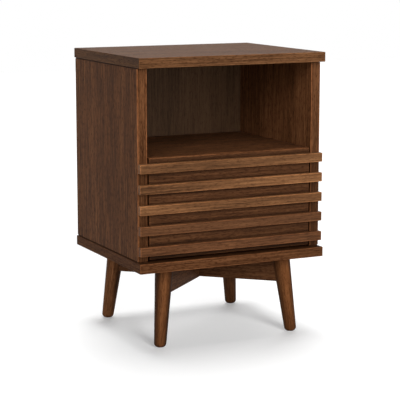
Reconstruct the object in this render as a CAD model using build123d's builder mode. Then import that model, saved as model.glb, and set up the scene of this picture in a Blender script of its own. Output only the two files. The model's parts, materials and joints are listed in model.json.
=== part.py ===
"""Bedside table: open cubby over one slat-fronted drawer, on splayed round legs with a cross brace.

Millimetres. +Z is up, the drawer faces -Y, +X is to the right of someone facing it.
The origin is on the floor, under the middle of the top.
"""

import os
from math import atan2, cos, degrees, hypot, radians, sin, tan

from build123d import *

# Overall size
width = 457.0
depth = 378.0
height = 645.0

# Carcass boards
top_thickness = 22.0
bottom_thickness = 22.0
side_thickness = 23.0
shelf_thickness = 18.0
back_thickness = 6.0
leg_height = 177.0  # floor to the underside of the bottom board
cubby_height = 195.5  # shelf to the underside of the top
panel_overhang = 2.5  # top and bottom past the side faces
front_setback = 18.0  # front edge of the top to the front edges of the sides
back_recess = 8.0  # rear edges to the back board
arris = 1.2  # eased edges
reveal_height = 2.5  # shadow line at both ends of each side
reveal_depth = 1.5
groove_depth = 6.0  # for the back board
groove_clearance = 0.15
groove_end_gap = 0.5

# Drawer front and its slats
front_thickness = 15.0
front_proud = 1.2  # drawer front past the front edges of the sides
front_side_gap = 4.0
front_floor_gap = 5.0
shelf_front_gap = 2.0  # back of the drawer front to the shelf
slat_count = 5
slat_height = 20.5
slat_thickness = 13.5
slat_floor_gap = 15.3
slat_top_margin = 11.1
slat_screw_reach = 120.0  # screws either side of the middle

# Drawer box
slide_space = 12.5  # side board to drawer side, where the runners sit
box_side_thickness = 12.0
box_back_thickness = 12.0
box_floor_gap = 17.0
box_top_gap = 23.5
box_rear_gap = 32.2
tray_thickness = 6.0  # drawer bottom
tray_rise = 15.0
tray_groove_depth = 4.5

# Legs and cross brace
leg_inset_x = 80.8  # edge of the bottom board to the middle of the leg's top
leg_inset_y = 53.8
leg_top_diameter = 41.0
leg_foot_diameter = 27.0
leg_splay = 8.15  # degrees from upright, outwards along the diagonal
foot_round = 9.0
brace_thickness = 20.0
brace_depth = 60.0
joint_clearance = 0.1  # coped ends and the half lap

# Roller runners
rail_gauge = 1.2
rail_bend = 1.4
rail_front_gap = 1.0
lip_height = 2.0
roller_radius = 9.0
roller_gap = 0.3  # tread to the flange that it runs on
roller_end_gap = 0.3
roller_setback = 12.0  # roller to the end of its rail
tread_width = 4.0
tread_chamfer = 0.5
hub_radius = 4.0
rivet_radius = 2.5
rivet_head_radius = 4.2
rivet_head_height = 0.7
running_clearance = 0.05
flange_clearance = 1.4  # drawer rail above the channel
flange_cover = 1.0  # drawer rail past the tread that it runs on
roof_gap = 1.5  # roller to the cut end of the channel's roof

# Dowels, bolts and screws
dowel_radius = 4.0
dowel_length = 30.0
dowel_in_board = 12.0
dowel_inset = 40.0
drawer_dowel_radius = 3.0
drawer_dowel_length = 24.0
drawer_dowel_bite = 9.0
drawer_dowel_inset = 35.0
brace_dowel_rise = 15.0
brace_dowel_spacing = 27.0
brace_dowel_gap = 3.0  # dowel end to the leg bolt
bolt_radius = 4.0
bolt_in_leg = 32.0
bolt_in_board = 14.0
insert_radius = 6.0
insert_length = 15.0
brace_screw_reach = 95.0
brace_screw_radius = 2.2
brace_screw_head_radius = 4.5
brace_screw_head_height = 3.0
brace_screw_length = 40.0
brace_screw_bite = 15.0
counterbore_radius = 5.5
slat_screw_radius = 2.0
slat_screw_head_radius = 4.0
slat_screw_bite = 9.0
rail_screw_radius = 1.75
rail_screw_head_radius = 3.4
rail_screw_head_height = 1.3
rail_screw_bite = 11.0
rail_screw_inset = 45.0
pass_gap = 0.4
lip_gap = 0.4
fit_clearance = 0.05
hole_end_gap = 0.5

# Faces and levels of the carcass
front_y = -depth / 2
rear_y = depth / 2
side_front_y = front_y + front_setback
side_outer_x = width / 2 - panel_overhang
side_inner_x = side_outer_x - side_thickness
side_middle_x = (side_inner_x + side_outer_x) / 2
side_middle_y = (side_front_y + rear_y) / 2
deck_z = leg_height + bottom_thickness
ceiling_z = height - top_thickness
shelf_z = ceiling_z - cubby_height
shelf_low_z = shelf_z - shelf_thickness
shelf_middle_z = shelf_z - shelf_thickness / 2
back_rear_y = rear_y - back_recess
back_front_y = back_rear_y - back_thickness

# Faces and levels of the drawer
front_face_y = side_front_y - front_proud
front_back_y = front_face_y + front_thickness
front_half = side_inner_x - front_side_gap
front_low_z = deck_z + front_floor_gap
slat_low_z = deck_z + slat_floor_gap
slat_pitch = (shelf_z - slat_top_margin - slat_height - slat_low_z) / (slat_count - 1)
shelf_front_y = front_back_y + shelf_front_gap
box_outer_x = side_inner_x - slide_space
box_inner_x = box_outer_x - box_side_thickness
box_side_x = (box_outer_x + box_inner_x) / 2
box_low_z = deck_z + box_floor_gap
box_high_z = shelf_low_z - box_top_gap
box_rear_y = back_front_y - box_rear_gap
box_back_y = box_rear_y - box_back_thickness
tray_low_z = box_low_z + tray_rise
tray_high_z = tray_low_z + tray_thickness
tray_half = box_inner_x + tray_groove_depth

# Legs and brace in plan
leg_x = width / 2 - leg_inset_x
leg_y = depth / 2 - leg_inset_y
leg_reach = hypot(leg_x, leg_y)
leg_turn = degrees(atan2(leg_y, leg_x))
brace_low_z = leg_height - brace_depth
lap_z = leg_height - brace_depth / 2

# Runner levels, and distances from the side board towards the drawer
channel_floor_z = box_low_z
channel_roof_z = channel_floor_z + 2 * roller_radius + 2 * roller_gap
drawer_roller_z = channel_floor_z + roller_gap + roller_radius
flange_z = channel_roof_z + rail_gauge + flange_clearance
cabinet_roller_z = flange_z - roller_gap - roller_radius
rail_front_y = front_back_y + rail_front_gap
rail_length = box_rear_y - rail_front_y
cabinet_roller_y = rail_front_y + roller_setback
drawer_roller_y = box_rear_y - roller_setback
drawer_rivet_u = rail_gauge + rail_screw_head_height + pass_gap
drawer_tread_u = drawer_rivet_u + rivet_head_height + roller_end_gap
drawer_hub_u = slide_space - rail_gauge - roller_end_gap
hub_length = drawer_hub_u - drawer_tread_u - tread_width
channel_reach = drawer_tread_u + tread_width + lip_gap + rail_gauge
cabinet_hub_u = rail_gauge + roller_end_gap
cabinet_tread_u = cabinet_hub_u + hub_length
cabinet_rivet_u = cabinet_tread_u + tread_width + roller_end_gap + rivet_head_height

# Fastener places
side_dowel_ys = [side_front_y + dowel_inset, rear_y - dowel_inset]
shelf_dowel_ys = [shelf_front_y + dowel_inset, back_front_y - dowel_inset]
drawer_dowel_zs = [box_low_z + drawer_dowel_inset, box_high_z - drawer_dowel_inset]
box_back_middle_y = (box_back_y + box_rear_y) / 2
brace_dowel_zs = [brace_low_z + brace_dowel_rise, brace_low_z + brace_dowel_rise + brace_dowel_spacing]
brace_dowel_end = leg_reach - bolt_radius - brace_dowel_gap
brace_screw_z = leg_height + brace_screw_bite - brace_screw_length
rail_screw_ys = [rail_front_y + rail_screw_inset, box_rear_y - rail_screw_inset]
rail_screw_u = slide_space + box_side_thickness / 2
slat_middle_zs = [slat_low_z + slat_height / 2 + slat_pitch * i for i in range(slat_count)]
slat_screw_points = [(x, z) for z in slat_middle_zs for x in (-slat_screw_reach, slat_screw_reach)]

hands = {"left": -1, "right": 1}
corners = {
    "front_left": (-1, -1),
    "front_right": (1, -1),
    "back_left": (-1, 1),
    "back_right": (1, 1),
}

os.makedirs("parts", exist_ok=True)


def finish(piece, label):
    piece.part.label = label
    export_step(piece.part, f"parts/{label}.step")


# Profiles that many pieces share
def oblong(plane, low, high):
    with BuildSketch(plane) as face:
        with Locations(((low[0] + high[0]) / 2, (low[1] + high[1]) / 2)):
            Rectangle(high[0] - low[0], high[1] - low[1])
    return face.sketch


def discs(plane, points, radius):
    with BuildSketch(plane) as face:
        with Locations(*points):
            Circle(radius)
    return face.sketch


def level(z):
    return Plane.XY.offset(z)


def facing_front(y):
    return Plane.XZ.offset(-y)


def facing_right(x):
    return Plane.YZ.offset(x)


# Screws of one brace bar, either side of the middle
def bar_screw_points(turn):
    x = brace_screw_reach * cos(radians(turn))
    y = brace_screw_reach * sin(radians(turn))
    return [(x, y), (-x, -y)]


# Top and bottom boards, grooved for the back board
side_dowel_points = [(side * side_middle_x, y) for side in hands.values() for y in side_dowel_ys]
leg_points = [(sx * leg_x, sy * leg_y) for sx, sy in corners.values()]
brace_screw_points = bar_screw_points(leg_turn) + bar_screw_points(-leg_turn)
groove_low = (-side_inner_x - groove_depth, back_front_y - groove_clearance)
groove_high = (side_inner_x + groove_depth, back_rear_y + groove_clearance)

with BuildPart() as top_panel:
    extrude(oblong(level(ceiling_z), (-width / 2, front_y), (width / 2, rear_y)), amount=top_thickness)
    fillet(top_panel.edges(), arris)
    extrude(oblong(level(ceiling_z), groove_low, groove_high), amount=groove_depth, mode=Mode.SUBTRACT)
    extrude(
        discs(level(ceiling_z), side_dowel_points, dowel_radius + fit_clearance),
        amount=dowel_in_board + hole_end_gap,
        mode=Mode.SUBTRACT,
    )
finish(top_panel, "top_panel")

with BuildPart() as bottom_panel:
    extrude(oblong(level(leg_height), (-width / 2, front_y), (width / 2, rear_y)), amount=bottom_thickness)
    fillet(bottom_panel.edges(), arris)
    extrude(oblong(level(deck_z), groove_low, groove_high), amount=-groove_depth, mode=Mode.SUBTRACT)
    extrude(
        discs(level(deck_z), side_dowel_points, dowel_radius + fit_clearance),
        amount=-dowel_in_board - hole_end_gap,
        mode=Mode.SUBTRACT,
    )
    extrude(
        discs(level(leg_height), leg_points, insert_radius + fit_clearance),
        amount=insert_length + hole_end_gap,
        mode=Mode.SUBTRACT,
    )
    extrude(
        discs(level(leg_height), brace_screw_points, brace_screw_radius + fit_clearance),
        amount=brace_screw_bite + hole_end_gap,
        mode=Mode.SUBTRACT,
    )
finish(bottom_panel, "bottom_panel")


# Side boards: shadow lines at both ends, a groove for the back board, holes for dowels and runner screws
def side_panel(hand):
    middle = (hand * side_middle_x, side_middle_y)
    inset = (middle[0] - hand * reveal_depth, middle[1] + reveal_depth)
    inner_face = facing_right(hand * side_inner_x)
    with BuildPart() as panel:
        with BuildSketch(level(deck_z)):
            with Locations(middle):
                Rectangle(side_thickness, rear_y - side_front_y)
        extrude(amount=ceiling_z - deck_z)
        fillet(panel.edges().filter_by(Axis.Z), arris)
        for end_z in (deck_z, ceiling_z - reveal_height):
            with BuildSketch(level(end_z)):
                with Locations(middle):
                    Rectangle(side_thickness, rear_y - side_front_y)
                with Locations(inset):
                    Rectangle(side_thickness, rear_y - side_front_y, mode=Mode.SUBTRACT)
            extrude(amount=reveal_height, mode=Mode.SUBTRACT)
        extrude(oblong(level(deck_z), groove_low, groove_high), amount=ceiling_z - deck_z, mode=Mode.SUBTRACT)
        for end_z, way in ((deck_z, 1), (ceiling_z, -1)):
            extrude(
                discs(level(end_z), [(middle[0], y) for y in side_dowel_ys], dowel_radius + fit_clearance),
                amount=way * (dowel_length - dowel_in_board + hole_end_gap),
                mode=Mode.SUBTRACT,
            )
        extrude(
            discs(inner_face, [(y, shelf_middle_z) for y in shelf_dowel_ys], dowel_radius + fit_clearance),
            amount=hand * (dowel_in_board + hole_end_gap),
            mode=Mode.SUBTRACT,
        )
        extrude(
            discs(
                inner_face,
                [(y, drawer_roller_z) for y in rail_screw_ys],
                rail_screw_radius + fit_clearance,
            ),
            amount=hand * (rail_screw_bite + hole_end_gap),
            mode=Mode.SUBTRACT,
        )
    return panel


for side, hand in hands.items():
    finish(side_panel(hand), f"{side}_side_panel")

# Shelf between the cubby and the drawer
with BuildPart() as shelf:
    extrude(
        oblong(
            level(shelf_low_z),
            (-side_inner_x, shelf_front_y),
            (side_inner_x, back_front_y - groove_clearance),
        ),
        amount=shelf_thickness,
    )
    fillet(shelf.edges().filter_by(Axis.X).group_by(Axis.Y)[0], arris)
    for hand in hands.values():
        extrude(
            discs(
                facing_right(hand * side_inner_x),
                [(y, shelf_middle_z) for y in shelf_dowel_ys],
                dowel_radius + fit_clearance,
            ),
            amount=-hand * (dowel_length - dowel_in_board + hole_end_gap),
            mode=Mode.SUBTRACT,
        )
finish(shelf, "shelf")

# Thin back board, held in the grooves all round
back_half = side_inner_x + groove_depth - groove_end_gap
with BuildPart() as back_panel:
    extrude(
        oblong(
            facing_front(back_rear_y),
            (-back_half, deck_z - groove_depth + groove_end_gap),
            (back_half, ceiling_z + groove_depth - groove_end_gap),
        ),
        amount=back_thickness,
    )
finish(back_panel, "back_panel")

# Dowels that hold the carcass together
with BuildPart() as panel_dowels:
    for low_z in (deck_z - dowel_in_board, ceiling_z + dowel_in_board - dowel_length):
        extrude(discs(level(low_z), side_dowel_points, dowel_radius), amount=dowel_length)
finish(panel_dowels, "panel_dowels")

with BuildPart() as shelf_dowels:
    for hand in hands.values():
        extrude(
            discs(
                facing_right(hand * (side_inner_x + dowel_in_board)),
                [(y, shelf_middle_z) for y in shelf_dowel_ys],
                dowel_radius,
            ),
            amount=-hand * dowel_length,
        )
finish(shelf_dowels, "shelf_dowels")


# Turned legs: a straight taper about a leaning axis, cut level at the floor and under the bottom board
def leg_blank(corner, growth):
    outward = Vector(corner[0] * leg_x, corner[1] * leg_y).normalized()
    head = outward * leg_reach + Vector(0, 0, leg_height)
    foot = outward * (leg_reach + leg_height * tan(radians(leg_splay)))
    rise = (head - foot).normalized()
    sideways = outward.cross(Vector(0, 0, 1))
    spare = leg_top_diameter / 2
    length = leg_height / cos(radians(leg_splay))
    taper = (leg_top_diameter - leg_foot_diameter) / 2 / length
    low_radius = leg_foot_diameter / 2 - taper * spare + growth
    high_radius = leg_top_diameter / 2 + taper * spare + growth
    with BuildPart() as blank:
        with BuildSketch(Plane(origin=foot, x_dir=sideways, z_dir=sideways.cross(rise))):
            with BuildLine():
                Polyline(
                    (0, -spare),
                    (low_radius, -spare),
                    (high_radius, length + spare),
                    (0, length + spare),
                    close=True,
                )
            make_face()
        revolve(axis=Axis(foot, rise))
    return blank.part


# Where each diagonal carries its dowels: sideways, then up, looking out from the middle
def diagonal_plane(corner, reach):
    outward = Vector(corner[0] * leg_x, corner[1] * leg_y).normalized()
    return Plane(origin=outward * reach, x_dir=Vector(0, 0, 1).cross(outward), z_dir=outward)


brace_dowel_places = [(0, z) for z in brace_dowel_zs]

for place, corner in corners.items():
    with BuildPart() as leg:
        add(leg_blank(corner, 0))
        split(bisect_by=level(leg_height), keep=Keep.BOTTOM)
        split(bisect_by=level(0), keep=Keep.TOP)
        fillet(leg.edges().group_by(Axis.Z)[0], foot_round)
        extrude(
            discs(level(leg_height), [(corner[0] * leg_x, corner[1] * leg_y)], bolt_radius + fit_clearance),
            amount=-bolt_in_leg - hole_end_gap,
            mode=Mode.SUBTRACT,
        )
        extrude(
            discs(
                diagonal_plane(corner, brace_dowel_end + hole_end_gap),
                brace_dowel_places,
                dowel_radius + fit_clearance,
            ),
            amount=-dowel_length,
            mode=Mode.SUBTRACT,
        )
    finish(leg, f"{place}_leg")

with BuildPart() as leg_bolts:
    extrude(
        discs(level(leg_height - bolt_in_leg), leg_points, bolt_radius),
        amount=bolt_in_leg + bolt_in_board,
    )
finish(leg_bolts, "leg_bolts")

with BuildPart() as leg_inserts:
    with BuildSketch(level(leg_height)):
        with Locations(*leg_points):
            Circle(insert_radius)
            Circle(bolt_radius + fit_clearance, mode=Mode.SUBTRACT)
    extrude(amount=insert_length)
finish(leg_inserts, "leg_inserts")


# Cross brace: two bars, coped to the legs and half lapped in the middle
def cross_bar(start, end, turn, lap_way):
    with BuildPart() as bar:
        with BuildSketch(level(brace_low_z)):
            Rectangle(2 * leg_reach, brace_thickness, rotation=turn)
        extrude(amount=brace_depth)
        for corner in (start, end):
            add(leg_blank(corner, joint_clearance), mode=Mode.SUBTRACT)
        with BuildSketch(level(lap_z)):
            Rectangle(3 * brace_thickness, brace_thickness + 2 * joint_clearance, rotation=-turn)
        extrude(amount=lap_way * brace_depth, mode=Mode.SUBTRACT)
        for corner in (start, end):
            extrude(
                discs(
                    diagonal_plane(corner, brace_dowel_end - dowel_length - hole_end_gap),
                    brace_dowel_places,
                    dowel_radius + fit_clearance,
                ),
                amount=dowel_length,
                mode=Mode.SUBTRACT,
            )
        extrude(
            discs(level(brace_low_z), bar_screw_points(turn), brace_screw_radius + fit_clearance),
            amount=brace_depth,
            mode=Mode.SUBTRACT,
        )
        extrude(
            discs(level(brace_low_z), bar_screw_points(turn), counterbore_radius),
            amount=brace_screw_z - brace_low_z,
            mode=Mode.SUBTRACT,
        )
    return bar


finish(cross_bar(corners["front_left"], corners["back_right"], leg_turn, 1), "left_cross_bar")
finish(cross_bar(corners["front_right"], corners["back_left"], -leg_turn, -1), "right_cross_bar")

with BuildPart() as brace_dowels:
    for corner in corners.values():
        extrude(
            discs(diagonal_plane(corner, brace_dowel_end), brace_dowel_places, dowel_radius),
            amount=-dowel_length,
        )
finish(brace_dowels, "brace_dowels")

with BuildPart() as brace_screws:
    extrude(
        discs(level(brace_screw_z), brace_screw_points, brace_screw_head_radius),
        amount=-brace_screw_head_height,
    )
    extrude(discs(level(brace_screw_z), brace_screw_points, brace_screw_radius), amount=brace_screw_length)
finish(brace_screws, "brace_screws")

# Drawer front: a plain board behind the slats, countersunk from behind for their screws
with BuildPart() as drawer_front:
    extrude(
        oblong(facing_front(front_back_y), (-front_half, front_low_z), (front_half, shelf_z)),
        amount=front_thickness,
    )
    fillet(drawer_front.edges().group_by(Axis.Y)[0], arris)
    extrude(
        oblong(
            facing_front(front_back_y),
            (-tray_half, tray_low_z - groove_clearance),
            (tray_half, tray_high_z + groove_clearance),
        ),
        amount=tray_groove_depth,
        mode=Mode.SUBTRACT,
    )
    extrude(
        discs(
            facing_front(front_back_y),
            [(hand * box_side_x, z) for hand in hands.values() for z in drawer_dowel_zs],
            drawer_dowel_radius + fit_clearance,
        ),
        amount=drawer_dowel_bite + hole_end_gap,
        mode=Mode.SUBTRACT,
    )
    for x, z in slat_screw_points:
        with Locations(Plane(origin=(x, front_back_y, z), x_dir=(-1, 0, 0), z_dir=(0, 1, 0))):
            CounterSinkHole(
                slat_screw_radius + fit_clearance,
                slat_screw_head_radius + fit_clearance,
                depth=front_thickness,
                counter_sink_angle=90,
            )
finish(drawer_front, "drawer_front")

# Slats across the drawer front, which double as its pull
for number, middle_z in enumerate(slat_middle_zs, start=1):
    with BuildPart() as slat:
        extrude(
            oblong(
                facing_front(front_face_y),
                (-side_outer_x, middle_z - slat_height / 2),
                (side_outer_x, middle_z + slat_height / 2),
            ),
            amount=slat_thickness,
        )
        fillet(slat.edges(), arris)
        extrude(
            discs(
                facing_front(front_face_y),
                [(x, middle_z) for x in (-slat_screw_reach, slat_screw_reach)],
                slat_screw_radius + fit_clearance,
            ),
            amount=slat_screw_bite + hole_end_gap,
            mode=Mode.SUBTRACT,
        )
    finish(slat, f"drawer_slat_{number}")

with BuildPart() as slat_screws:
    extrude(
        discs(facing_front(front_back_y), slat_screw_points, slat_screw_radius),
        amount=front_thickness + slat_screw_bite,
    )
    for x, z in slat_screw_points:
        with Locations(Plane(origin=(x, front_back_y, z), x_dir=(1, 0, 0), z_dir=(0, -1, 0))):
            Cone(
                slat_screw_head_radius,
                slat_screw_radius,
                slat_screw_head_radius - slat_screw_radius,
                align=(Align.CENTER, Align.CENTER, Align.MIN),
            )
finish(slat_screws, "slat_screws")


# Drawer box: two sides, a back between them and a thin bottom in grooves
def drawer_side(hand):
    inner_face = facing_right(hand * box_inner_x)
    with BuildPart() as board:
        with BuildSketch(level(box_low_z)):
            with Locations((hand * box_side_x, (front_back_y + box_rear_y) / 2)):
                Rectangle(box_side_thickness, box_rear_y - front_back_y)
        extrude(amount=box_high_z - box_low_z)
        fillet(board.edges().filter_by(Axis.Y), arris)
        extrude(
            oblong(
                inner_face,
                (front_back_y, tray_low_z - groove_clearance),
                (box_rear_y, tray_high_z + groove_clearance),
            ),
            amount=hand * tray_groove_depth,
            mode=Mode.SUBTRACT,
        )
        extrude(
            discs(
                facing_front(front_back_y),
                [(hand * box_side_x, z) for z in drawer_dowel_zs],
                drawer_dowel_radius + fit_clearance,
            ),
            amount=drawer_dowel_bite - drawer_dowel_length - hole_end_gap,
            mode=Mode.SUBTRACT,
        )
        extrude(
            discs(
                inner_face,
                [(box_back_middle_y, z) for z in drawer_dowel_zs],
                drawer_dowel_radius + fit_clearance,
            ),
            amount=hand * (drawer_dowel_bite + hole_end_gap),
            mode=Mode.SUBTRACT,
        )
        extrude(
            discs(
                level(box_low_z),
                [(hand * (side_inner_x - rail_screw_u), y) for y in rail_screw_ys],
                rail_screw_radius + fit_clearance,
            ),
            amount=rail_screw_bite + hole_end_gap,
            mode=Mode.SUBTRACT,
        )
    return board


for side, hand in hands.items():
    finish(drawer_side(hand), f"drawer_{side}_side")

with BuildPart() as drawer_back:
    extrude(
        oblong(facing_front(box_rear_y), (-box_inner_x, box_low_z), (box_inner_x, box_high_z)),
        amount=box_back_thickness,
    )
    fillet(drawer_back.edges().filter_by(Axis.X).group_by(Axis.Z)[-1], arris)
    extrude(
        oblong(
            facing_front(box_back_y),
            (-box_inner_x, tray_low_z - groove_clearance),
            (box_inner_x, tray_high_z + groove_clearance),
        ),
        amount=-tray_groove_depth,
        mode=Mode.SUBTRACT,
    )
    for hand in hands.values():
        extrude(
            discs(
                facing_right(hand * box_inner_x),
                [(box_back_middle_y, z) for z in drawer_dowel_zs],
                drawer_dowel_radius + fit_clearance,
            ),
            amount=-hand * (drawer_dowel_length - drawer_dowel_bite + hole_end_gap),
            mode=Mode.SUBTRACT,
        )
finish(drawer_back, "drawer_back")

with BuildPart() as drawer_bottom:
    extrude(
        oblong(
            level(tray_low_z),
            (-tray_half + groove_end_gap, front_back_y - tray_groove_depth + groove_end_gap),
            (tray_half - groove_end_gap, box_back_y + tray_groove_depth - groove_end_gap),
        ),
        amount=tray_thickness,
    )
finish(drawer_bottom, "drawer_bottom")

with BuildPart() as drawer_dowels:
    for hand in hands.values():
        extrude(
            discs(
                facing_front(front_back_y - drawer_dowel_bite),
                [(hand * box_side_x, z) for z in drawer_dowel_zs],
                drawer_dowel_radius,
            ),
            amount=-drawer_dowel_length,
        )
        extrude(
            discs(
                facing_right(hand * (box_inner_x + drawer_dowel_bite)),
                [(box_back_middle_y, z) for z in drawer_dowel_zs],
                drawer_dowel_radius,
            ),
            amount=-hand * drawer_dowel_length,
        )
finish(drawer_dowels, "drawer_dowels")


# Runners: folded steel rails with one roller each
def rail(hand, fold):
    with BuildPart() as strip:
        with BuildSketch(facing_front(box_rear_y)):
            with BuildLine():
                FilletPolyline(*[(hand * (side_inner_x - u), z) for u, z in fold], radius=rail_bend)
            trace(line_width=rail_gauge)
        extrude(amount=rail_length)
    return strip.part


def cabinet_rail(hand):
    floor_line = channel_floor_z - rail_gauge / 2
    roof_line = channel_roof_z + rail_gauge / 2
    fold = [
        (channel_reach - rail_gauge / 2, channel_floor_z + lip_height),
        (channel_reach - rail_gauge / 2, floor_line),
        (rail_gauge / 2, floor_line),
        (rail_gauge / 2, roof_line),
        (channel_reach, roof_line),
    ]
    web = facing_right(hand * side_inner_x)
    cut_span = sorted(hand * (side_inner_x - u) for u in (rail_gauge, slide_space))
    with BuildPart() as strip:
        add(rail(hand, fold))
        extrude(
            oblong(
                level(cabinet_roller_z),
                (cut_span[0], rail_front_y),
                (cut_span[1], cabinet_roller_y + roller_radius + roof_gap),
            ),
            amount=flange_z - cabinet_roller_z,
            mode=Mode.SUBTRACT,
        )
        extrude(
            discs(web, [(y, drawer_roller_z) for y in rail_screw_ys], rail_screw_radius + fit_clearance),
            amount=-hand * rail_gauge,
            mode=Mode.SUBTRACT,
        )
        extrude(
            discs(web, [(cabinet_roller_y, cabinet_roller_z)], rivet_radius + fit_clearance),
            amount=-hand * rail_gauge,
            mode=Mode.SUBTRACT,
        )
    return strip


def drawer_rail(hand):
    web_line = slide_space - rail_gauge / 2
    fold = [
        (cabinet_tread_u - flange_cover, flange_z + rail_gauge / 2),
        (web_line, flange_z + rail_gauge / 2),
        (web_line, box_low_z - rail_gauge / 2),
        (slide_space + box_side_thickness, box_low_z - rail_gauge / 2),
    ]
    with BuildPart() as strip:
        add(rail(hand, fold))
        extrude(
            discs(
                facing_right(hand * box_outer_x),
                [(drawer_roller_y, drawer_roller_z)],
                rivet_radius + fit_clearance,
            ),
            amount=hand * rail_gauge,
            mode=Mode.SUBTRACT,
        )
        extrude(
            discs(
                level(box_low_z),
                [(hand * (side_inner_x - rail_screw_u), y) for y in rail_screw_ys],
                rail_screw_radius + fit_clearance,
            ),
            amount=-rail_gauge,
            mode=Mode.SUBTRACT,
        )
    return strip


# Plane through a roller's axle: x runs from the hub's end towards the tread, y runs out from the axle
def axle_plane(hand, u, way, y, z):
    middle = (hand * (side_inner_x - u), y, z)
    return Plane(origin=middle, x_dir=(-hand * way, 0, 0), z_dir=(0, hand * way, 0))


def roller(plane):
    with BuildPart() as wheel:
        with BuildSketch(plane):
            with BuildLine():
                Polyline(
                    (0, rivet_radius + running_clearance),
                    (0, hub_radius),
                    (hub_length, hub_radius),
                    (hub_length, roller_radius),
                    (hub_length + tread_width, roller_radius),
                    (hub_length + tread_width, rivet_radius + running_clearance),
                    close=True,
                )
            make_face()
        revolve(axis=Axis(plane.origin, plane.x_dir))
        chamfer(wheel.edges().filter_by(GeomType.CIRCLE).group_by(SortBy.RADIUS)[-1], tread_chamfer)
    return wheel


for side, hand in hands.items():
    finish(cabinet_rail(hand), f"{side}_cabinet_rail")
    finish(drawer_rail(hand), f"{side}_drawer_rail")
    finish(
        roller(axle_plane(hand, cabinet_hub_u, 1, cabinet_roller_y, cabinet_roller_z)),
        f"{side}_cabinet_roller",
    )
    finish(
        roller(axle_plane(hand, drawer_hub_u, -1, drawer_roller_y, drawer_roller_z)),
        f"{side}_drawer_roller",
    )

with BuildPart() as cabinet_rivets:
    for hand in hands.values():
        axle = [(cabinet_roller_y, cabinet_roller_z)]
        extrude(discs(facing_right(hand * side_inner_x), axle, rivet_radius), amount=-hand * cabinet_rivet_u)
        extrude(
            discs(facing_right(hand * (side_inner_x - cabinet_rivet_u)), axle, rivet_head_radius),
            amount=hand * rivet_head_height,
        )
finish(cabinet_rivets, "cabinet_rivets")

with BuildPart() as drawer_rivets:
    for hand in hands.values():
        axle = [(drawer_roller_y, drawer_roller_z)]
        extrude(
            discs(facing_right(hand * box_outer_x), axle, rivet_radius),
            amount=hand * (slide_space - drawer_rivet_u),
        )
        extrude(
            discs(facing_right(hand * (side_inner_x - drawer_rivet_u)), axle, rivet_head_radius),
            amount=-hand * rivet_head_height,
        )
finish(drawer_rivets, "drawer_rivets")

with BuildPart() as cabinet_rail_screws:
    for hand in hands.values():
        places = [(y, drawer_roller_z) for y in rail_screw_ys]
        web_face = facing_right(hand * (side_inner_x - rail_gauge))
        extrude(discs(web_face, places, rail_screw_radius), amount=hand * (rail_gauge + rail_screw_bite))
        extrude(discs(web_face, places, rail_screw_head_radius), amount=-hand * rail_screw_head_height)
finish(cabinet_rail_screws, "cabinet_rail_screws")

with BuildPart() as drawer_rail_screws:
    places = [(hand * (side_inner_x - rail_screw_u), y) for hand in hands.values() for y in rail_screw_ys]
    under_face = level(box_low_z - rail_gauge)
    extrude(discs(under_face, places, rail_screw_radius), amount=rail_gauge + rail_screw_bite)
    extrude(discs(under_face, places, rail_screw_head_radius), amount=-rail_screw_head_height)
finish(drawer_rail_screws, "drawer_rail_screws")
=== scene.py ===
import json
import math

import bmesh
import bpy
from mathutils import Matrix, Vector


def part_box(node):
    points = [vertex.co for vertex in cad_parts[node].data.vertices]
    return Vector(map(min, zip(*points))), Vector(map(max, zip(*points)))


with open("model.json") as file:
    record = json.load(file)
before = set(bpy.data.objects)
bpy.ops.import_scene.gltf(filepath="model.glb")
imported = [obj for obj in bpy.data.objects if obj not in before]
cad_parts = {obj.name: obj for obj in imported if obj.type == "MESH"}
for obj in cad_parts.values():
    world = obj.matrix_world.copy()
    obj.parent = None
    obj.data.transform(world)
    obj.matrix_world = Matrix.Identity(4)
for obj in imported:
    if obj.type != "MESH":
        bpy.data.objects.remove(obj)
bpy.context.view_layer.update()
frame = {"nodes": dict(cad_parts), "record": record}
nodes = frame["nodes"]
mounts = frame["record"]["mounts"]
feet = {m["name"]: Vector(m["pos_m"]) for m in mounts if m["name"].endswith("_foot")}
print("frame loaded:", len(nodes), "nodes")


class Flow:  # one value on its way through a finish
    def __init__(self, finish, socket):
        self.finish = finish
        self.socket = socket

    def math(self, operation, *values):
        return self.finish.node("ShaderNodeMath", {"operation": operation}, dict(enumerate(values)))

    def __add__(self, other):
        return self.math("ADD", self, other)

    def __sub__(self, other):
        return self.math("SUBTRACT", self, other)

    def __rsub__(self, other):
        return self.math("SUBTRACT", other, self)

    def __mul__(self, other):
        return self.math("MULTIPLY", self, other)

    def __abs__(self):
        return self.math("ABSOLUTE", self)

    __radd__ = __add__
    __rmul__ = __mul__

    def least(self, other):
        return self.math("MINIMUM", self, other)

    def most(self, other):
        return self.math("MAXIMUM", self, other)

    def fold(self, half):  # up and down again between 0 and half
        return self.math("PINGPONG", self, half)

    def swing(self):  # noise runs from 0 to 1, so its middle comes off
        return self - 0.5

    def rise(self, low, high):  # 0 below low, 1 above high, soft between
        settings = {"interpolation_type": "SMOOTHSTEP"}
        return self.finish.node("ShaderNodeMapRange", settings, {0: self, 1: low, 2: high})


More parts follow.
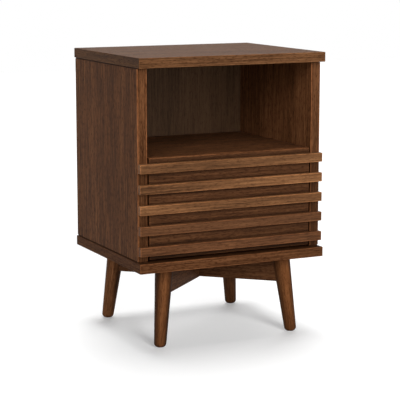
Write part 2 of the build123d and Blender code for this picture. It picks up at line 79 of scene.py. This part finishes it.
class Finish:  # one material and its nodes
    def __init__(self, name, block=None):
        self.block = block or bpy.data.materials.new(name)
        self.block.use_nodes = True
        self.tree = self.block.node_tree
        self.tree.nodes.clear()

    def node(self, kind, settings=None, inputs=None, output=0):
        made = self.tree.nodes.new(kind)
        for key, value in (settings or {}).items():
            if key == "stops":
                self.setStops(made.color_ramp, value)
            else:
                setattr(made, key, value)
        for key, value in (inputs or {}).items():
            if isinstance(value, Flow):
                self.tree.links.new(value.socket, made.inputs[key])
            else:
                made.inputs[key].default_value = value
        return Flow(self, made.outputs[output]) if made.outputs else made

    def setStops(self, ramp, stops):
        while len(ramp.elements) < len(stops):
            ramp.elements.new(0.5)  # anywhere between the two that a ramp starts with
        for element, (place, colour) in zip(ramp.elements, stops):
            element.position = place
            element.color = (*colour, 1)

    def coordinate(self, kind):
        return self.node("ShaderNodeTexCoord", output=kind)

    def split(self, vector):
        node = self.node("ShaderNodeSeparateXYZ", None, {0: vector}).socket.node
        return [Flow(self, out) for out in node.outputs]

    def vector(self, operation, inputs):
        return self.node("ShaderNodeVectorMath", {"operation": operation}, inputs)

    def noise(self, point, sizes, detail=2.0, rough=0.5):
        stretched = self.vector("MULTIPLY", {0: point, 1: sizes})
        inputs = {"Vector": stretched, "Scale": 1.0, "Detail": detail, "Roughness": rough}
        return self.node("ShaderNodeTexNoise", None, inputs)

    def mix(self, first, second, amount, way="MIX"):
        settings = {"data_type": "RGBA", "blend_type": way}
        return self.node("ShaderNodeMix", settings, {0: amount, 6: first, 7: second}, 2)

    def tint(self, colour, tone):  # a colour times one number
        return self.vector("SCALE", {0: colour, "Scale": tone})

    def bump(self, height, strength, distance):
        inputs = {"Height": height, "Strength": strength, "Distance": distance}
        return self.node("ShaderNodeBump", None, inputs)

    def surface(self, inputs):
        shader = self.node("ShaderNodeBsdfPrincipled", None, inputs)
        self.node("ShaderNodeOutputMaterial", None, {"Surface": shader})
        return self.block


# stained walnut, with its grain along one direction of the piece
walnut = {
    "stops": [
        (0.20, (0.030, 0.0108, 0.0040)),
        (0.42, (0.092, 0.0355, 0.0138)),
        (0.58, (0.150, 0.0600, 0.0238)),
        (0.82, (0.235, 0.1010, 0.0420)),
    ],
    "middle": 0.5,  # where plain wood lies between the stops
    "seedStep": (0.37, 0.61, 0.23),  # metres from one seed's figure to the next
    "bandTurn": (0.6, 0.8),  # how far to the side a face looks to be an edge strip
    "drift": (3, 9, 9),  # features per metre, along and across the grain
    "driftBy": 0.004,  # metres
    "broad": (1.6, 20, 20),
    "streak": (8, 270),
    "streakBy": 0.85,
    "fibre": (50, 900, 900),
    "fibreBy": 0.5,
    "vein": (90, 420),
    "veinFrom": (0.52, 0.66),
    "veinBy": 0.85,
    "veinTone": (0.50, 0.45, 0.42, 1),
    "pore": (90, 1800, 1800),
    "poreFrom": (0.60, 0.70),
    "poreBy": 0.6,
    "poreTone": (0.42, 0.36, 0.33, 1),
    "wearAndHighlightDepth": (0.003, 0.006),  # metres behind the front of the piece
    "wearAndHighlightTone": (2.3, 2.15, 2.0, 1),
    "rearTurn": (0.5, 0.9),  # how far to the back a face looks to be a rear one
    "roughness": 0.58,
    "streakRough": 0.16,
    "poreRough": 0.12,
    "fibreRelief": 0.5,
    "veinRelief": 0.5,
    "reliefStrength": 0.25,
    "reliefDepth": 0.00012,  # metres
    "sheen": (1, 0.97, 0.86, 1),
}
plainBoard = {
    "tones": (1, 1, 1),  # of the faces across x, y and z
    "stain": (1, 1, 1),  # red, green and blue
    "rear": None,  # the outer face of a back has a tone of its own, redder and darker as painted shade against the rear lamp's sheen
    "figure": 1.0,
    "heart": 0.3,
    "fine": (1, 1),  # how much finer the figure is, both ways across the grain
    "gloss": 0.10,
    "wearAndHighlight": 0.8,
    "wearAndHighlightReach": 0.0024,  # metres
}


def grainPoint(finish, point, grain, seed):  # the grain is turned to lie along x
    turn = Vector(grain).rotation_difference(Vector((1, 0, 0))).to_euler()
    shift = [step * seed for step in walnut["seedStep"]]
    return finish.node("ShaderNodeMapping", None, {0: point, 1: shift, 2: turn})


def acrossGrain(kind, fine):
    along, across = walnut[kind]
    return (along, *(across * by for by in fine))


def frontArris(place, reach, low, high):  # front arrises lighter: wear from hands and cloths, and a painted highlight where the front light catches them
    a, b, c = [(at - near).least(far - at) for at, near, far in zip(place, low, high)]
    nearest = a.least(b).most(a.most(b).least(c))  # distance to the nearest arris
    front = 1 - place[1].rise(*(low.y + depth for depth in walnut["wearAndHighlightDepth"]))
    return (1 - nearest.rise(0.0, reach)) * front


def walnutFinish(name, grain, seed, banded=False, paintShade=None, **own):
    look = {**plainBoard, **own}
    figure = look["figure"]
    finish = Finish(name)
    whole = finish.coordinate("Object")
    place = finish.split(whole)
    facing = finish.split(finish.coordinate("Normal"))
    point = grainPoint(finish, whole, grain, seed)
    if banded:  # edge strips run along the board's own edges
        strip = grainPoint(finish, whole, (0, 1, 0), seed)
        inputs = {0: abs(facing[0]).rise(*walnut["bandTurn"]), 4: point, 5: strip}
        point = finish.node("ShaderNodeMix", {"data_type": "VECTOR"}, inputs, 1)
    sway = finish.noise(point, walnut["drift"]).swing() * walnut["driftBy"]
    swayed = finish.node("ShaderNodeCombineXYZ", None, {1: sway, 2: sway})
    point = finish.vector("ADD", {0: point, 1: swayed})

    broad = finish.noise(point, walnut["broad"])
    streak = finish.noise(point, acrossGrain("streak", look["fine"]), detail=3.0, rough=0.6)
    fibre = finish.noise(point, walnut["fibre"])
    vein = finish.noise(point, acrossGrain("vein", look["fine"])).rise(*walnut["veinFrom"])
    pore = finish.noise(point, walnut["pore"], detail=1.0).rise(*walnut["poreFrom"])
    shade = walnut["middle"] + broad.swing() * look["heart"]
    shade = shade + streak.swing() * (walnut["streakBy"] * figure)
    shade = shade + fibre.swing() * (walnut["fibreBy"] * figure)

    stops = [(at, [c * by for c, by in zip(tone, look["stain"])]) for at, tone in walnut["stops"]]
    colour = finish.node("ShaderNodeValToRGB", {"stops": stops}, {0: shade})
    colour = finish.mix(colour, walnut["veinTone"], vein * (walnut["veinBy"] * figure), "MULTIPLY")
    colour = finish.mix(colour, walnut["poreTone"], pore * walnut["poreBy"], "MULTIPLY")
    # front arrises lightened: wear and a painted highlight
    if look["wearAndHighlight"]:
        wearAndHighlight = frontArris(place, look["wearAndHighlightReach"], *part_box(name)) * look["wearAndHighlight"]
        colour = finish.mix(colour, walnut["wearAndHighlightTone"], wearAndHighlight, "MULTIPLY")
    # painted shade: the outer face of the back darker and redder, against the rear lamp's sheen
    if look["rear"]:
        behind = facing[1].rise(*walnut["rearTurn"])
        colour = finish.mix(colour, look["rear"], behind, "MULTIPLY")
    squares = [side * side * amount for side, amount in zip(facing, look["tones"])]
    tone = squares[0] + squares[1] + squares[2]  # edges and ends take the stain differently, and face by face the tones also paint light and shade
    # painted shade from a mask of the board's or leg's own
    if paintShade:
        tone = tone * paintShade(place, facing)

    rough = walnut["roughness"] + streak.swing() * walnut["streakRough"]
    rough = rough + pore * walnut["poreRough"]
    height = fibre * walnut["fibreRelief"] - pore - vein * walnut["veinRelief"]
    return finish.surface({
        "Base Color": finish.tint(colour, tone),
        "Roughness": rough,
        "Normal": finish.bump(height, walnut["reliefStrength"], walnut["reliefDepth"]),
        "Specular IOR Level": look["gloss"],
        "Specular Tint": walnut["sheen"],
    })


def paint(name, material):
    for slot in nodes[name].material_slots:
        slot.material = material


# painted shade: places that daylight hardly reaches are darkened in the colour
paintedShade = {
    "turned": (0.5, 0.9),  # how far a face looks that way to count
    "blur": 0.001,  # metres over which a tone changes
    "reveal": 0.0025,
    "revealBlur": 0.0004,
    "revealTone": 0.3,
    "bayTone": 0.35,
    "besideTone": 0.6,
    "contact": 0.009,
    "contactTone": 0.48,
    "headTone": 0.95,
    "footTone": 0.5,
}
slatCount = 5
slatBoxes = [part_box(f"drawer_slat_{i}") for i in range(1, slatCount + 1)]  # from the lowest up


def shaded(mask, tone):  # tone where the mask is 1, and 1 where it is 0
    return 1 - mask * (1 - tone)


def above(height, level):
    return height.rise(level, level + paintedShade["blur"])


def looking(amount):
    return amount.rise(*paintedShade["turned"])


# painted shade on a side panel: a dark line in each end reveal, the inner face below the shelf, the
# front edge beside the slats
def sidePaintedShade(hand):  # -1 is the left side and 1 the right
    def paintShade(place, facing):
        low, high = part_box("left_side_panel")
        end = (place[2] - low.z).least(high.z - place[2])
        reveal = 1 - end.rise(paintedShade["reveal"], paintedShade["reveal"] + paintedShade["revealBlur"])
        bay = looking(facing[0] * -hand) * (1 - above(place[2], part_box("shelf")[0].z))
        beside = looking(facing[1] * -1) * (1 - above(place[2], slatBoxes[-1][0].z))
        shadow = shaded(bay, paintedShade["bayTone"]) * shaded(beside, paintedShade["besideTone"])
        return shaded(reveal, paintedShade["revealTone"]) * shadow

    return paintShade


# painted shade on the drawer front: against each slat, below the lowest one and a little above the
# highest
def frontPaintedShade(place, facing):
    lowest, highest = slatBoxes[0], slatBoxes[-1]
    half = (lowest[1].z - lowest[0].z) / 2
    pitch = (highest[0].z - lowest[0].z) / (slatCount - 1)
    away = (place[2] - (lowest[0].z + half)).fold(pitch / 2)  # height off a slat's middle
    contact = 1 - away.rise(half, half + paintedShade["contact"])
    foot = 1 - above(place[2], lowest[0].z - paintedShade["blur"])
    head = above(place[2], highest[1].z) * looking(facing[1] * -1)
    ends = shaded(foot, paintedShade["footTone"]) * shaded(head, paintedShade["headTone"])
    return shaded(contact, paintedShade["contactTone"]) * ends


sidePanel = {"grain": (0, 0, 1), "wearAndHighlightReach": 0.0038}
darkSlat = {"grain": (1, 0, 0), "figure": 0.8, "heart": 0.7}
paleSlat = {**darkSlat, "stain": (1, 1.12, 1.12)}
boards = {  # a board's place in this list is its seed
    "top_panel": {
        "grain": (1, 0, 0),
        "banded": True,
        "tones": (0.58, 1.22, 0.97),
        # greener and bluer stain, partly a painted warm sheen on the top
        "stain": (1, 1.1, 1.14),
        "gloss": 0.041,
        "wearAndHighlight": 0.35,
    },
    "bottom_panel": {
        "grain": (1, 0, 0),
        "banded": True,
        # top face darker: painted shade in the gap under the drawer
        "tones": (0.64, 1.02, 0.5),
        "gloss": 0.022,
    },
    "left_side_panel": {
        **sidePanel,
        "tones": (0.85, 1.27, 1),
        "figure": 1.3,
        "fine": (0.6, 2.2),
        "gloss": 0.028,
        "wearAndHighlight": 1.0,
        "paintShade": sidePaintedShade(-1),
    },
    "right_side_panel": {
        **sidePanel,
        "tones": (1.15, 1.13, 1),
        "fine": (0.7, 1.3),
        "gloss": 0.045,
        "wearAndHighlight": 0.9,
        "paintShade": sidePaintedShade(1),
    },
    "shelf": {"grain": (1, 0, 0), "tones": (1, 1, 1.08), "figure": 1.2, "fine": (0.3, 1)},
    "back_panel": {
        "grain": (0, 0, 1),
        # greyer, bluer stain as a painted sheen; the outer face is taken darker and redder again
        "stain": (0.88, 1.16, 1.48),
        "rear": (1.04, 0.69, 0.42, 1),
        "figure": 0.6,
        "gloss": 0.14,
    },
    "drawer_front": {
        "grain": (1, 0, 0),
        # ends darker as painted shade in the side gaps, face darker as painted shade behind the
        # slats, top lighter as a painted highlight
        "tones": (0.6, 0.8, 1.5),
        "gloss": 0.06,
        "paintShade": frontPaintedShade,
    },
    "drawer_slat_1": {**darkSlat, "tones": (1.16, 1.16, 1.16)},
    "drawer_slat_2": {**darkSlat, "tones": (0.83, 0.83, 0.83)},
    "drawer_slat_3": {**paleSlat, "tones": (2.05, 2.05, 2.05)},
    "drawer_slat_4": {**paleSlat, "tones": (2.06, 2.06, 2.06)},
    "drawer_slat_5": {**paleSlat, "tones": (1.71, 1.71, 1.71)},
    "drawer_left_side": {"grain": (0, 1, 0)},
    "drawer_right_side": {"grain": (0, 1, 0)},
    "drawer_back": {"grain": (1, 0, 0)},
    "drawer_bottom": {"grain": (1, 0, 0)},
}
for seed, (name, look) in enumerate(boards.items(), start=1):
    paint(name, walnutFinish(name, seed=seed, **look))
print("boards finished")

# legs lean out along the diagonals, and the brace bars lie along them
legSplay = math.radians(8.15)
legWood = {"figure": 0.7, "heart": 1.3, "gloss": 0.06, "wearAndHighlight": 0}
# each leg's tones paint light and shade by which way its face looks
legs = {
    "front_left_leg": {
        "seed": 107,
        "tones": (0.58, 1.36, 1),
        "stain": (1, 0.92, 0.77),
        "innerTurn": (0.1, 0.8),  # from wholly inner to wholly outer
        "innerTone": 0.5,
    },
    "front_right_leg": {
        "seed": 53,
        "tones": (0.72, 1.3, 1),
        "stain": (1, 0.90, 0.72),
        "innerTurn": (-0.6, 0.6),
        "innerTone": 0.64,
    },
    "back_left_leg": {
        "seed": 109,
        "tones": (1.45, 1.4, 1),
        "stain": (1, 1.0, 0.97),
        "innerTurn": (-0.6, 0.6),
        "innerTone": 0.9,
    },
    "back_right_leg": {
        "seed": 88,
        "tones": (1.45, 1.4, 1),
        "stain": (1, 0.98, 0.95),
        "innerTurn": (-0.6, 0.6),
        "innerTone": 0.8,
    },
}
braceBars = {
    "left_cross_bar": {"towards": "front_left_foot", "seed": 41},
    "right_cross_bar": {"towards": "front_right_foot", "seed": 42},
}
braceWood = {"tones": (0.75, 0.75, 1), "gloss": 0.05, "wearAndHighlight": 0}


def innerSide(out, turn, tone):  # the sides turned to one another are out of the light
    def paintShade(place, facing):
        outer = (facing[0] * out.x + facing[1] * out.y).rise(*turn)
        return shaded(1 - outer, tone)

    return paintShade


for name, leg in legs.items():
    foot = feet[name.replace("_leg", "_foot")]
    out = Vector((foot.x, foot.y, 0)).normalized()
    grain = out * math.sin(legSplay) - Vector((0, 0, math.cos(legSplay)))
    paintShade = innerSide(out, leg["innerTurn"], leg["innerTone"])
    look = {**legWood, "tones": leg["tones"], "stain": leg["stain"], "paintShade": paintShade}
    paint(name, walnutFinish(name, grain, leg["seed"], **look))
for name, bar in braceBars.items():
    foot = feet[bar["towards"]]
    paint(name, walnutFinish(name, (foot.x, foot.y, 0), bar["seed"], **braceWood))
print("legs and brace finished")

# hardware and hidden wood, by the endings of their names
plainFinishes = {
    "dowels": {
        "endings": ("dowels",),
        "colour": (0.55, 0.38, 0.23),
        "metal": 0.0,
        "rough": 0.7,
        "grain": (30, 400, 400),
    },
    "rail": {
        "endings": ("rail",),
        "colour": (0.030, 0.030, 0.032),
        "metal": 0.0,
        "rough": 0.42,
        "grain": (900, 900, 900),
    },
    "roller": {
        "endings": ("roller",),
        "colour": (0.74, 0.73, 0.69),
        "metal": 0.0,
        "rough": 0.45,
        "grain": (300, 300, 300),
    },
    "inserts": {
        "endings": ("inserts",),
        "colour": (0.72, 0.52, 0.25),
        "metal": 1.0,
        "rough": 0.35,
        "grain": (600, 600, 600),
    },
    "steel": {
        "endings": ("screws", "bolts", "rivets"),
        "colour": (0.58, 0.58, 0.60),
        "metal": 1.0,
        "rough": 0.32,
        "grain": (700, 700, 700),
    },
}
speckle = {
    "darker": 0.72,
    "from": (0.25, 0.65),
    "rough": 0.25,
    "reliefStrength": 0.1,
    "reliefDepth": 0.0001,  # metres
}


def plainFinish(name, look):
    finish = Finish(name)
    speck = finish.noise(finish.coordinate("Object"), look["grain"], detail=3.0)
    darker = [speckle["darker"] * c for c in look["colour"]]
    return finish.surface({
        "Base Color": finish.mix((*darker, 1), (*look["colour"], 1), speck.rise(*speckle["from"])),
        "Roughness": look["rough"] + speck.swing() * speckle["rough"],
        "Metallic": look["metal"],
        "Normal": finish.bump(speck, speckle["reliefStrength"], speckle["reliefDepth"]),
    })


for key, look in plainFinishes.items():
    material = plainFinish(key, look)
    for name in nodes:
        if name.endswith(look["endings"]):
            paint(name, material)
print("hardware finished")

# pale floor that goes white away from the shadow
floorLook = {
    "size": 14.0,  # metres
    "pale": 0.80,  # as it is seen
    "bounce": 0.42,  # as it lights the pieces
    "lift": 0.29,
}
floorMesh = bpy.data.meshes.new("floor")
shape = bmesh.new()
bmesh.ops.create_grid(shape, x_segments=1, y_segments=1, size=floorLook["size"] / 2)
shape.to_mesh(floorMesh)
shape.free()
floor = bpy.data.objects.new("floor", floorMesh)
bpy.context.scene.collection.objects.link(floor)


def seenRays(finish):  # camera, glossy and clear rays see the white of the studio
    rays = finish.node("ShaderNodeLightPath").socket.node.outputs
    seen = Flow(finish, rays["Is Camera Ray"]).most(Flow(finish, rays["Is Glossy Ray"]))
    return seen.most(Flow(finish, rays["Is Transmission Ray"]))


pale = Finish("pale_floor")
seen = seenRays(pale)
grey = floorLook["bounce"] + seen * (floorLook["pale"] - floorLook["bounce"])
matt = pale.node("ShaderNodeBsdfDiffuse", None, {"Color": grey})
glow = pale.node("ShaderNodeEmission", None, {"Strength": seen * floorLook["lift"]})
both = pale.node("ShaderNodeAddShader", None, {0: matt, 1: glow})
under = pale.node("ShaderNodeNewGeometry", output="Backfacing")  # clear when seen from below
clear = pale.node("ShaderNodeBsdfTransparent")
skin = pale.node("ShaderNodeMixShader", None, {0: under, 1: both, 2: clear})
pale.node("ShaderNodeOutputMaterial", None, {"Surface": skin})
floorMesh.materials.append(pale.block)
print("floor laid")

# soft studio light
worldLook = {"light": 0.12, "white": 1.0}
world = bpy.data.worlds.new("studio")
bpy.context.scene.world = world
studio = Finish("studio", world)
level = worldLook["light"] + seenRays(studio) * (worldLook["white"] - worldLook["light"])
backdrop = studio.node("ShaderNodeBackground", None, {"Color": (1, 1, 1, 1), "Strength": level})
studio.node("ShaderNodeOutputWorld", None, {"Surface": backdrop})

lampDistance = 3.0  # metres
softLights = {  # side, height and spread in degrees, level as a share of white
    "overhead": {"side": 163, "height": 79, "spread": 28, "level": 0.61, "reaches": "floor"},
    "lowFront": {"side": 0, "height": 28, "spread": 20, "level": 0.53, "reaches": "floor"},
    "lowBack": {"side": 150, "height": 20, "spread": 40, "level": 0.58, "reaches": "floor"},
    "above": {"side": 165, "height": 83, "spread": 32, "level": 0.27, "reaches": "pieces"},
    "rear": {"side": 180, "height": 12, "spread": 100, "level": 0.20, "reaches": "pieces"},
    "front": {"side": -10, "height": 5, "spread": 100, "level": 1.00, "reaches": "pieces"},
    "key": {"side": -50, "height": 20, "spread": 20, "level": 0.18, "reaches": "pieces"},
}
reach = {"pieces": bpy.data.collections.new("pieces"), "floor": bpy.data.collections.new("ground")}
for piece in nodes.values():
    reach["pieces"].objects.link(piece)
reach["floor"].objects.link(floor)
for name, look in softLights.items():
    lamp = bpy.data.lights.new(name, "SUN")
    lamp.angle = math.radians(look["spread"])
    lamp.energy = look["level"] * math.pi  # a sun of pi lights white to white
    side, height = math.radians(look["side"]), math.radians(look["height"])
    flat = math.cos(height)
    away = Vector((math.sin(side) * flat, -math.cos(side) * flat, math.sin(height)))
    holder = bpy.data.objects.new(name, lamp)
    holder.location = away * lampDistance
    holder.rotation_euler = (-away).to_track_quat("-Z", "Y").to_euler()
    holder.light_linking.receiver_collection = reach[look["reaches"]]
    bpy.context.scene.collection.objects.link(holder)
print("studio lit")

# the photograph's view
view = {
    "place": (-1.4869, -3.0631, 0.8711),
    "turn": 25.997,  # degrees to the right of straight ahead
    "dip": 9.588,  # degrees below the horizon
    "lens": 133.33,  # millimetres
    "sensor": 36,
}
camera = bpy.data.objects.new("camera", bpy.data.cameras.new("camera"))
camera.location = view["place"]
camera.rotation_euler = (math.radians(90 - view["dip"]), 0, -math.radians(view["turn"]))
camera.data.lens = view["lens"]
camera.data.sensor_width = view["sensor"]
bpy.context.scene.collection.objects.link(camera)
bpy.context.scene.camera = camera
bpy.context.scene.view_settings.view_transform = "Standard"
print("camera set")
